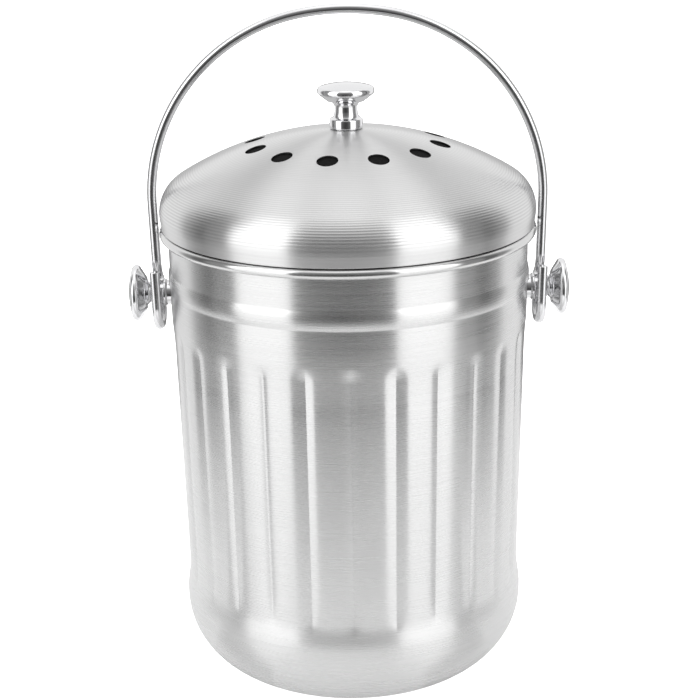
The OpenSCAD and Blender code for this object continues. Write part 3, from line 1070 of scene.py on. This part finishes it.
@dataclass
class Bail:
    """The wire bail: one wire bent over the lid, with an open eye round each sleeve."""

    finishes: Finishes
    pivot_z: float
    wire_r: float = 2.4
    side_x: float = 5.1
    crown_more: float = 32.0
    eye_r: float = 12.3
    eye_end: float = 13.8
    eye_end_low: float = 0.4
    eye_gap: float = 0.6
    sleeve_r: float = 6.0
    turn_gap: float = 0.45
    eye_bend: float = 60.0
    facets: int = 28
    cut_round: float = 0.35
    cut_steps: int = 4
    loop_steps: int = 84
    knee_steps: int = 24
    shoulder_steps: int = 48
    crown_steps: int = 10

    def __post_init__(self) -> None:
        """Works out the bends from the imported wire's box and the sleeve's end."""
        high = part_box("bail_handle")[1]
        self.half = high.x / MM - self.wire_r
        self.top = high.z / MM - self.wire_r
        self.eye_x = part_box("pivot_sleeve_right")[1].x / MM - self.turn_gap - self.wire_r
        self.side_r = self.half - self.side_x
        self.crown_r = self.side_r + self.crown_more
        self.crown_z = self.top - self.crown_r
        self.side_z = self.crown_z + math.sqrt(self.crown_more**2 - self.side_x**2)
        across, up = self.eye_x - self.side_x, self.side_z - self.pivot_z
        far = math.hypot(across, up)
        self.lean = math.atan2(up, across) - math.acos(self.side_r / far)
        reach = self.eye_r + self.sleeve_r + self.eye_gap + self.wire_r
        self.knee = math.sqrt(reach**2 - self.eye_r**2)
        self.drop = 2 * self.eye_r * math.sin(math.radians(self.eye_bend)) - self.knee

    def eye_path(self) -> list[tuple[float, float]]:
        """The eye's middle line, from the cut end to the arm.

        Returns:
            Offsets to the back and up the arm, counted from the pivot.
        """
        end = [(-self.eye_r, self.eye_end), (-self.eye_r, self.eye_end * self.eye_end_low)]
        loop = arc(0.0, -self.drop, self.eye_r, 180, 360 + self.eye_bend, self.loop_steps)
        knee = arc(self.eye_r, self.knee, self.eye_r, 180 + self.eye_bend, 180, self.knee_steps)[1:]
        return [*end, *loop, *knee]

    def half_path(self) -> list[Vector]:
        """Middle line of the right half.

        Returns:
            The points from the cut end to the top.
        """
        up = Vector((math.sin(self.lean), 0.0, math.cos(self.lean)))
        origin = Vector((self.eye_x, 0.0, self.pivot_z))
        path = [origin + Vector((0.0, u, 0.0)) + up * v for u, v in self.eye_path()]
        flat = math.asin(self.side_x / self.crown_more)
        start, end = -math.degrees(self.lean), 90 - math.degrees(flat)
        shoulder = arc(self.side_x, self.side_z, self.side_r, start, end, self.shoulder_steps)
        crown = arc(0.0, self.crown_z, self.crown_r, end, 90, self.crown_steps)[1:]
        return path + [Vector((x, 0.0, z)) for x, z in shoulder + crown]

    def path(self) -> list[Vector]:
        """Middle line of the whole wire.

        Returns:
            The points from the right cut end to the left one.
        """
        right = self.half_path()
        left = [Vector((-p.x, p.y, p.z)) for p in right[-2::-1]]
        return right + left

    def build(self) -> None:
        """Builds and dresses the bail."""
        path = self.path()
        skin = Skin()
        rows: list[list[Point]] = []
        across = Vector((1.0, 0.0, 0.0))
        last = len(path) - 1
        for i, centre in enumerate(path):
            along = (path[min(i + 1, last)] - path[max(i - 1, 0)]).normalized()
            across = (across - along * across.dot(along)).normalized()
            other = along.cross(across)
            radii = [(self.wire_r, 0.0)]
            if i in (0, last):
                turn = self.cut_round
                radii = arc(self.wire_r - turn, -turn, turn, 0, 90, self.cut_steps)
                if i == 0:
                    radii.reverse()
            for r, shift in radii:
                middle = centre + along * (shift if i == last else -shift)
                ring = []
                for k in range(self.facets):
                    a = math.tau * k / self.facets
                    ring.append(tuple(middle + across * (r * math.cos(a)) + other * (r * math.sin(a))))
                rows.append(ring)
        skin.loft([[tuple(path[0])], *rows, [tuple(path[-1])]])
        piece = skin.build("bail_wire", sharp=50.0)
        hand_over(piece, Part.BAIL, "bail_wire", self.finishes.wire, "bail_handle")


# ---- lid


@dataclass
class LidDome:
    """The spun dome with its punched holes and hemmed edge."""

    finishes: Finishes
    edge_h: float = 7.2
    shoulder_r: float = 18.0
    crown_r: float = 160.0
    wall: float = 0.6
    hem_h: float = 4.0
    hem_gap: float = 0.3
    hem_share: float = 1.25
    tuck: float = 8.0
    vents: int = 12
    vent_r: float = 5.0
    vent_ring_r: float = 45.8
    vent_turn: float = 3.7
    vent_margin: float = 3.0
    vent_shares: tuple[float, ...] = (1.0, 0.7, 0.42, 0.2, 0.06, 0.0)
    punch_round: float = 0.2
    punch_break: float = 0.3
    steepest_skin: float = 0.75
    stud_r: float = 2.7
    arc_steps: int = 16
    side_steps: int = 10
    middle_steps: tuple[int, int] = (14, 10)
    rim_steps: tuple[int, int] = (10, 8)
    shoulder_steps: tuple[int, int] = (28, 16)
    hem_steps: int = 10

    def __post_init__(self) -> None:
        """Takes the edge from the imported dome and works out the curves."""
        low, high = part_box("lid_dome")
        self.edge_r = high.x / MM
        self.foot_z = low.z / MM
        self.shoulder_z = self.foot_z + self.edge_h
        self.shoulder_x = self.edge_r - self.shoulder_r
        rise = math.sqrt((self.crown_r - self.shoulder_r) ** 2 - self.shoulder_x**2)
        self.dome_z = self.shoulder_z - rise
        self.dome_edge = math.degrees(math.atan2(rise, self.shoulder_x))
        self.hem_r = self.wall * self.hem_share
        self.near = self.vent_ring_r - self.vent_r - self.vent_margin
        self.far = self.vent_ring_r + self.vent_r + self.vent_margin
        self.columns = self.vents * self.arc_steps
        self.first = math.radians(-90 + self.vent_turn)

    def crown_height(self, radius: float, inset: float) -> float:
        """Height of the crown at a distance from the axis, set in by a thickness."""
        return self.dome_z + math.sqrt((self.crown_r - inset) ** 2 - radius * radius)

    def ring(self, r: float, z: float) -> list[Point]:
        """One round row."""
        turns = [self.first + math.tau * i / self.columns for i in range(self.columns)]
        return [(r * math.cos(a), r * math.sin(a), z) for a in turns]

    def crown_rows(self, start: float, end: float, inset: float, steps: int) -> list[list[Point]]:
        """Rows of the crown.

        Args:
            start: Distance of the first row from the axis.
            end: Distance of the last row.
            inset: Thickness by which they are set in.
            steps: Number of stretches.

        Returns:
            The rows.
        """
        rows: list[list[Point]] = []
        for i in range(steps + 1):
            r = start + (end - start) * i / steps
            rows.append(self.ring(r, self.crown_height(r, inset)))
        return rows

    def sector_edge(self, vent: int) -> list[tuple[float, float]]:
        """Points round the plan of one vent's sector.

        Args:
            vent: The vent's number.

        Returns:
            The points in order.
        """
        near, far = self.near, self.far
        a0 = self.first + math.tau * vent / self.vents
        a1 = self.first + math.tau * (vent + 1) / self.vents
        polar: list[tuple[float, float]] = []
        polar += [(near, a0 + (a1 - a0) * i / self.arc_steps) for i in range(self.arc_steps)]
        polar += [(near + (far - near) * i / self.side_steps, a1) for i in range(self.side_steps)]
        polar += [(far, a1 + (a0 - a1) * i / self.arc_steps) for i in range(self.arc_steps)]
        polar += [(far + (near - far) * i / self.side_steps, a0) for i in range(self.side_steps)]
        return [(r * math.cos(a), r * math.sin(a)) for r, a in polar]

    def add_vent(self, skin: Skin, vent: int) -> None:
        """Adds one punched hole with the metal round it, outside, through and inside.

        Args:
            skin: The dome's skin.
            vent: The hole's number.
        """
        middle = self.first + math.tau * (vent + 0.5) / self.vents
        cx, cy = self.vent_ring_r * math.cos(middle), self.vent_ring_r * math.sin(middle)
        edge = self.sector_edge(vent)

        def level(share: float, radius: float, inset: float, lower: float = 0.0) -> list[Point]:
            """One row round the hole.

            Args:
                share: How far out it lies between the hole and the sector's edge.
                radius: Radius of the hole.
                inset: Thickness by which it is set in.
                lower: How much it is lowered.

            Returns:
                The points.
            """
            points: list[Point] = []
            for ex, ey in edge:
                reach = math.hypot(ex - cx, ey - cy)
                grown = (radius + (reach - radius) * share) / reach
                x, y = cx + (ex - cx) * grown, cy + (ey - cy) * grown
                points.append((x, y, self.crown_height(math.hypot(x, y), inset) - lower))
            return points

        turn = self.punch_round
        rows = [level(s, self.vent_r + turn, 0.0) for s in self.vent_shares]
        rows.append(level(0.0, self.vent_r + turn * self.punch_break, 0.0, turn * self.punch_break))
        rows.append(level(0.0, self.vent_r, 0.0, turn))
        rows += [level(s, self.vent_r, self.wall) for s in reversed(self.vent_shares)]
        skin.loft(rows)

    def edge_rows(self) -> list[list[Point]]:
        """Rows from the holes' ring over the shoulder, round the hem and back inside.

        Returns:
            The rows.
        """
        sx, sz, sr, t = self.shoulder_x, self.shoulder_z, self.shoulder_r, self.wall
        slope = math.cos(math.radians(self.dome_edge))
        over, under = self.shoulder_steps
        outside = arc(sx, sz, sr, self.dome_edge, -self.tuck, over)[1:]
        low_x, low_z = outside[-1]
        hem_z, hem_r = self.foot_z + self.hem_r, self.hem_r
        foot_x = low_x - (low_z - hem_z) * math.tan(math.radians(self.tuck))
        wall = straight((low_x, low_z), (foot_x, hem_z), 3)
        hem = arc(foot_x - hem_r, hem_z, hem_r, 0, -180, self.hem_steps)
        fold = [
            (foot_x - 2 * hem_r + self.hem_gap, self.foot_z + self.hem_h),
            (foot_x - t + self.hem_gap, self.foot_z + self.hem_h),
        ]
        inside = arc(sx, sz, sr - t, 0, self.dome_edge, under)[:-1]
        out, back = self.rim_steps
        rows = self.crown_rows(self.far, self.crown_r * slope, 0.0, out)
        rows += [self.ring(r, z) for r, z in [*outside, *wall, *hem, *fold, *inside]]
        return rows + self.crown_rows((self.crown_r - t) * slope, self.far, t, back)

    def build(self) -> None:
        """Builds and dresses the dome, with painted shade on the walls of its holes: they get a near-black
        steel.
        """
        skin = Skin()
        over, under = self.middle_steps
        skin.loft(
            self.crown_rows(self.near, self.stud_r, self.wall, under)
            + self.crown_rows(self.stud_r, self.near, 0.0, over)
        )
        for vent in range(self.vents):
            self.add_vent(skin, vent)
        skin.loft(self.edge_rows())
        piece = skin.build("lid_dome_spun", sharp=45.0)
        hand_over(piece, Part.LID, "brushed_steel", self.finishes.lid, "lid_dome")
        # Painted shade: the steep walls of the holes get the near-black steel, as the holes lie in shadow.
        piece.data.materials.append(self.finishes.hole_wall_painted_shade)
        for face in piece.data.polygons:
            radius = math.hypot(face.center.x, face.center.y) / MM
            if self.near < radius < self.far and abs(face.normal.z) < self.steepest_skin:
                face.material_index = 1


@dataclass
class LidInside:
    """What hangs under the dome: the felt pad, and the solids that keep their own shape."""

    finishes: Finishes
    pad_gap: float = 0.3
    pad_thick: float = 6.0
    pad_round: float = 1.2
    pad_break: float = 0.3
    pad_ripple: float = 0.25
    ripple_scale: float = 0.35
    columns: int = 180
    face_steps: int = 20

    def pad(self) -> None:
        """Builds the charcoal pad as pressed felt with soft edges."""
        node = frame["nodes"]["charcoal_filter"]
        radii = [math.hypot(v.co.x, v.co.y) / MM for v in node.data.vertices]
        out, hole = max(radii), min(radii)
        low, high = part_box("charcoal_filter")
        dome = LidDome(self.finishes)
        top_r = dome.crown_r - dome.wall - self.pad_gap
        thick = high.z / MM - low.z / MM - (dome.crown_height(hole, 0) - dome.crown_height(out, 0))
        thick = min(thick, self.pad_thick)
        line: Line = []
        edge, bevel = self.pad_round, self.pad_round * self.pad_break
        for i in range(self.face_steps + 1):
            r = hole + edge + (out - hole - 2 * edge) * i / self.face_steps
            line.append((r, dome.dome_z + math.sqrt(top_r**2 - r * r)))
        under = [(r, z - thick) for r, z in reversed(line)]
        rim_z = dome.dome_z + math.sqrt(top_r**2 - out**2)
        line += [(out - bevel, rim_z - bevel), (out, rim_z - edge)]
        line += [(out, rim_z - thick + edge), (out - bevel, rim_z - thick + bevel)]
        hole_z = dome.dome_z + math.sqrt(top_r**2 - hole**2)
        line += under + [(hole, hole_z - thick + edge), (hole, hole_z - edge), line[0]]
        skin = turned(line, self.columns, upright(0.0))
        skin.points = [self.rippled(p) for p in skin.points]
        piece = skin.build("charcoal_pad", sharp=60.0)
        hand_over(piece, Part.LID, "charcoal_felt", self.finishes.felt, "charcoal_filter")

    def rippled(self, point: Point) -> Point:
        """Lowers a pad point a little, as felt is uneven.

        Args:
            point: The point.

        Returns:
            The lowered point.
        """
        x, y, z = point
        dip = self.pad_ripple * (0.5 + 0.5 * noise.noise(Vector((x, y, z)) * self.ripple_scale))
        return (x, y, z - dip)

    def build(self) -> None:
        """Builds the pad and dresses the solids under the lid."""
        self.pad()
        f = self.finishes
        plain = {
            "lid_plug_ring": f.body,
            "lid_gasket": f.rubber,
            "knob_stud": f.fastener,
            "knob_washer": f.fastener,
            "knob_nut": f.fastener,
            "filter_holder": f.plastic,
            "thumb_nut": f.plastic,
        }
        for node, material in plain.items():
            dress(frame["nodes"][node], material)
            log.info("%s keeps its solid", node)


@dataclass
class PivotFasteners:
    """The screws, washers and seals inside the bucket, which keep their solids."""

    finishes: Finishes

    def build(self) -> None:
        """Dresses the fasteners."""
        for side in Side:
            for kind in ("screw", "washer", "seal"):
                material = self.finishes.rubber if kind == "seal" else self.finishes.fastener
                dress(frame["nodes"][f"pivot_{kind}_{side.tag}"], material)
        log.info("pivot fasteners keep their solids")


# ---- studio


@dataclass
class Studio:
    """A plain pale floor, a soft surround of light and the camera.

    The camera's places and the floor's radii are metres. Turns and heights in the surround are degrees, and
    each pair of them is where a change begins and ends.
    """

    camera_back: float = 0.8235
    camera_up: float = 0.4298
    pitch: float = 17.92
    roll: float = -0.954
    focal_px: float = 1719.6
    image_px: float = 700.0
    sensor: float = 36.0
    near_floor_r: float = 0.7
    far_floor_r: float = 8.0
    floor_fade: tuple[float, float] = (0.31, 0.56)
    floor_gap: float = 0.1
    floor_tone: float = 0.8
    floor_glow: float = 0.3
    floor_white: float = 1.2
    floor_rough: float = 0.9
    floor_strip: tuple[float, float] = (31.0, 36.0)
    floor_strip_end: tuple[float, float] = (69.0, 74.0)
    floor_columns: int = 96
    clip: tuple[float, float] = (0.01, 50.0)
    front_half: float = 34.0
    front_dark: float = 0.07
    front_rise: float = 0.2
    front_low: float = 0.11
    front_high: float = 0.34
    strip_light: float = 1.74
    strip_high: float = 2.9
    side_grey: float = 0.42
    side_dark: float = 0.2
    light_turn: float = 3.3
    strip_on_floor: float = 0.3
    back_light: float = 1.28
    back_dark: float = 0.3
    top_light: float = 1.45
    middle_light: float = 1.9
    low_front: tuple[float, float] = (-6.0, 8.0)
    high_front: tuple[float, float] = (8.0, 60.0)
    strip_rise: tuple[float, float] = (-4.0, 12.0)
    strip_turn: tuple[float, float] = (31.0, 34.5)
    grey_turn: tuple[float, float] = (70.5, 74.0)
    dark_turn: tuple[float, float] = (89.0, 92.0)
    dark_end: tuple[float, float] = (100.0, 105.0)
    back_turn: tuple[float, float] = (108.0, 121.0)
    behind_turn: tuple[float, float] = (146.0, 155.0)
    behind_top: tuple[float, float] = (0.0, 9.0)
    top_rise: tuple[float, float] = (42.0, 62.0)
    middle_rise: tuple[float, float] = (54.0, 84.0)
    middle_width: tuple[float, float] = (0.05, 0.3)

    def camera(self) -> None:
        """Sets the camera in front of and above the caddy."""
        pitch, roll = math.radians(self.pitch), math.radians(self.roll)
        look = Vector((0.0, math.cos(pitch), -math.sin(pitch)))
        right = Vector((1.0, 0.0, 0.0))
        up = right.cross(look)
        right_rolled = right * math.cos(roll) + up * math.sin(roll)
        up_rolled = up * math.cos(roll) - right * math.sin(roll)
        data = bpy.data.cameras.new("camera")
        data.sensor_width = self.sensor
        data.lens = self.focal_px / self.image_px * self.sensor
        data.clip_start, data.clip_end = self.clip
        camera = bpy.data.objects.new("camera", data)
        turn = Matrix((right_rolled, up_rolled, -look)).transposed().to_4x4()
        camera.matrix_world = Matrix.Translation((0.0, -self.camera_back, self.camera_up)) @ turn
        bpy.context.scene.collection.objects.link(camera)
        bpy.context.scene.camera = camera

    def floor(self) -> None:
        """Lays the floor as a near disc and a far ring that shiny metal doesn't mirror."""
        material, desk, shader = new_material("pale_floor")
        tone = (self.floor_tone,) * 3
        desk.feed(shader, "Base Color", (*tone, 1.0))
        desk.feed(shader, "Roughness", self.floor_rough)
        desk.feed(shader, "Emission Color", (1.0, 1.0, 1.0, 1.0))
        path = desk.add("ShaderNodeLightPath")
        seen = path.outputs["Is Camera Ray"]
        glow = desk.math("MULTIPLY_ADD", seen, self.floor_white - self.floor_glow, self.floor_glow)
        desk.feed(shader, "Emission Strength", glow)
        x, y, _ = desk.place()
        radius = desk.radius(x, y)
        turn = self.turn_from_front(desk, x, y)
        strip = desk.span(turn, *self.floor_strip, 0.0, self.strip_on_floor)
        strip = self.step(desk, strip, turn, self.floor_strip_end, 0.0)
        share = desk.math("MAXIMUM", desk.span(radius, *self.floor_fade, 0.0, 1.0), strip)
        share = desk.math("MULTIPLY", share, path.outputs["Is Glossy Ray"])
        clear = desk.add("ShaderNodeBsdfTransparent")
        mix = desk.add("ShaderNodeMixShader")
        desk.feed(mix, 0, share)
        desk.feed(mix, 1, shader.outputs[0])
        desk.feed(mix, 2, clear.outputs[0])
        output = next(n for n in desk.tree.nodes if n.type == "OUTPUT_MATERIAL")
        desk.tree.links.new(mix.outputs[0], output.inputs[0])
        for name, radii in (
            ("floor_near", (0.0, self.near_floor_r)),
            ("floor_far", (self.near_floor_r, self.far_floor_r)),
        ):
            line = [(r / MM, -self.floor_gap) for r in radii]
            piece = turned(line, self.floor_columns, upright(0.0)).build(name)
            dress(piece, material)
            piece.visible_glossy = name == "floor_near"

    def surround(self) -> None:
        """Lights the scene from all round: soft strips left and right of a darker front."""
        world = bpy.data.worlds.new("studio")
        world.use_nodes = True
        bpy.context.scene.world = world
        desk = Desk(world.node_tree)
        split = desk.add("ShaderNodeSeparateXYZ")
        desk.feed(split, 0, desk.add("ShaderNodeTexCoord").outputs["Generated"])
        x, y, z = split.outputs
        turn = self.turn_from_front(desk, x, y)
        height = desk.math("DEGREES", desk.math("ARCSINE", z))
        front = desk.math("POWER", desk.math("DIVIDE", turn, self.front_half), 2.0)
        light = desk.math("MULTIPLY_ADD", front, self.front_rise, self.front_dark)
        light = desk.math("ADD", light, desk.span(height, *self.low_front, 0.0, self.front_low))
        light = desk.math("ADD", light, desk.span(height, *self.high_front, 0.0, self.front_high))
        strip = desk.span(height, *self.strip_rise, self.strip_light, self.strip_high)
        for limits, level in (
            (self.strip_turn, strip),
            (self.grey_turn, self.side_grey),
            (self.dark_turn, self.side_dark),
            (self.dark_end, self.side_grey),
            (self.back_turn, self.back_light),
        ):
            light = self.step(desk, light, turn, limits, level)
        across = desk.span(turn, *self.behind_turn, 0.0, 1.0)
        behind = desk.math("MULTIPLY", across, desk.span(height, *self.behind_top, 1.0, 0.0))
        light = self.step(desk, light, behind, (0.0, 1.0), self.back_dark)
        light = self.step(desk, light, height, self.top_rise, self.top_light)
        side = desk.math("ABSOLUTE", x)
        middle = desk.span(side, *self.middle_width, self.middle_light, self.top_light)
        light = self.step(desk, light, height, self.middle_rise, middle)
        back = desk.add("ShaderNodeBackground")
        desk.feed(back, "Strength", light)
        plain = desk.add("ShaderNodeBackground")
        desk.feed(plain, "Color", (1.0, 1.0, 1.0, 1.0))
        desk.feed(plain, "Strength", self.floor_white)
        path = desk.add("ShaderNodeLightPath")
        mix = desk.add("ShaderNodeMixShader")
        desk.feed(mix, 0, path.outputs["Is Camera Ray"])
        desk.feed(mix, 1, back.outputs[0])
        desk.feed(mix, 2, plain.outputs[0])
        output = desk.add("ShaderNodeOutputWorld")
        desk.tree.links.new(mix.outputs[0], output.inputs[0])

    def turn_from_front(self, desk: Desk, x: object, y: object) -> object:
        """Angle away from the middle of the dark front, on either side."""
        turn = desk.math("DEGREES", desk.math("ARCTAN2", x, desk.math("MULTIPLY", y, -1.0)))
        return desk.math("ABSOLUTE", desk.math("ADD", turn, self.light_turn))

    @staticmethod
    def step(
        desk: Desk, below: object, value: object, limits: tuple[float, float], then: object
    ) -> bpy.types.NodeSocket:
        """One more level of light beyond a soft limit.

        Args:
            desk: The desk of the nodes.
            below: The light before the limit.
            value: The value that passes the limit.
            limits: Where the change begins and ends.
            then: The light beyond the limit.

        Returns:
            The light.
        """
        share = desk.span(value, *limits, 0.0, 1.0)
        kept = desk.math("MULTIPLY", below, desk.math("SUBTRACT", 1.0, share))
        return desk.math("ADD", kept, desk.math("MULTIPLY", share, then))

    def build(self) -> None:
        """Builds the studio."""
        self.camera()
        self.floor()
        self.surround()
        bpy.context.scene.view_settings.view_transform = "Standard"
        log.info("studio is set")


def main() -> None:
    """Builds the studio and every piece of the caddy, in order."""
    logging.basicConfig(level=logging.INFO, format="%(name)s: %(message)s")
    Studio().build()
    finishes = make_finishes()
    pivot_z = frame["joints"][0]["pos_m"][2] / MM
    Bucket(finishes, pivot_z).build()
    Knobs(finishes, pivot_z).build()
    Bail(finishes, pivot_z).build()
    LidDome(finishes).build()
    LidInside(finishes).build()
    PivotFasteners(finishes).build()


if __name__ == "__main__":
    main()
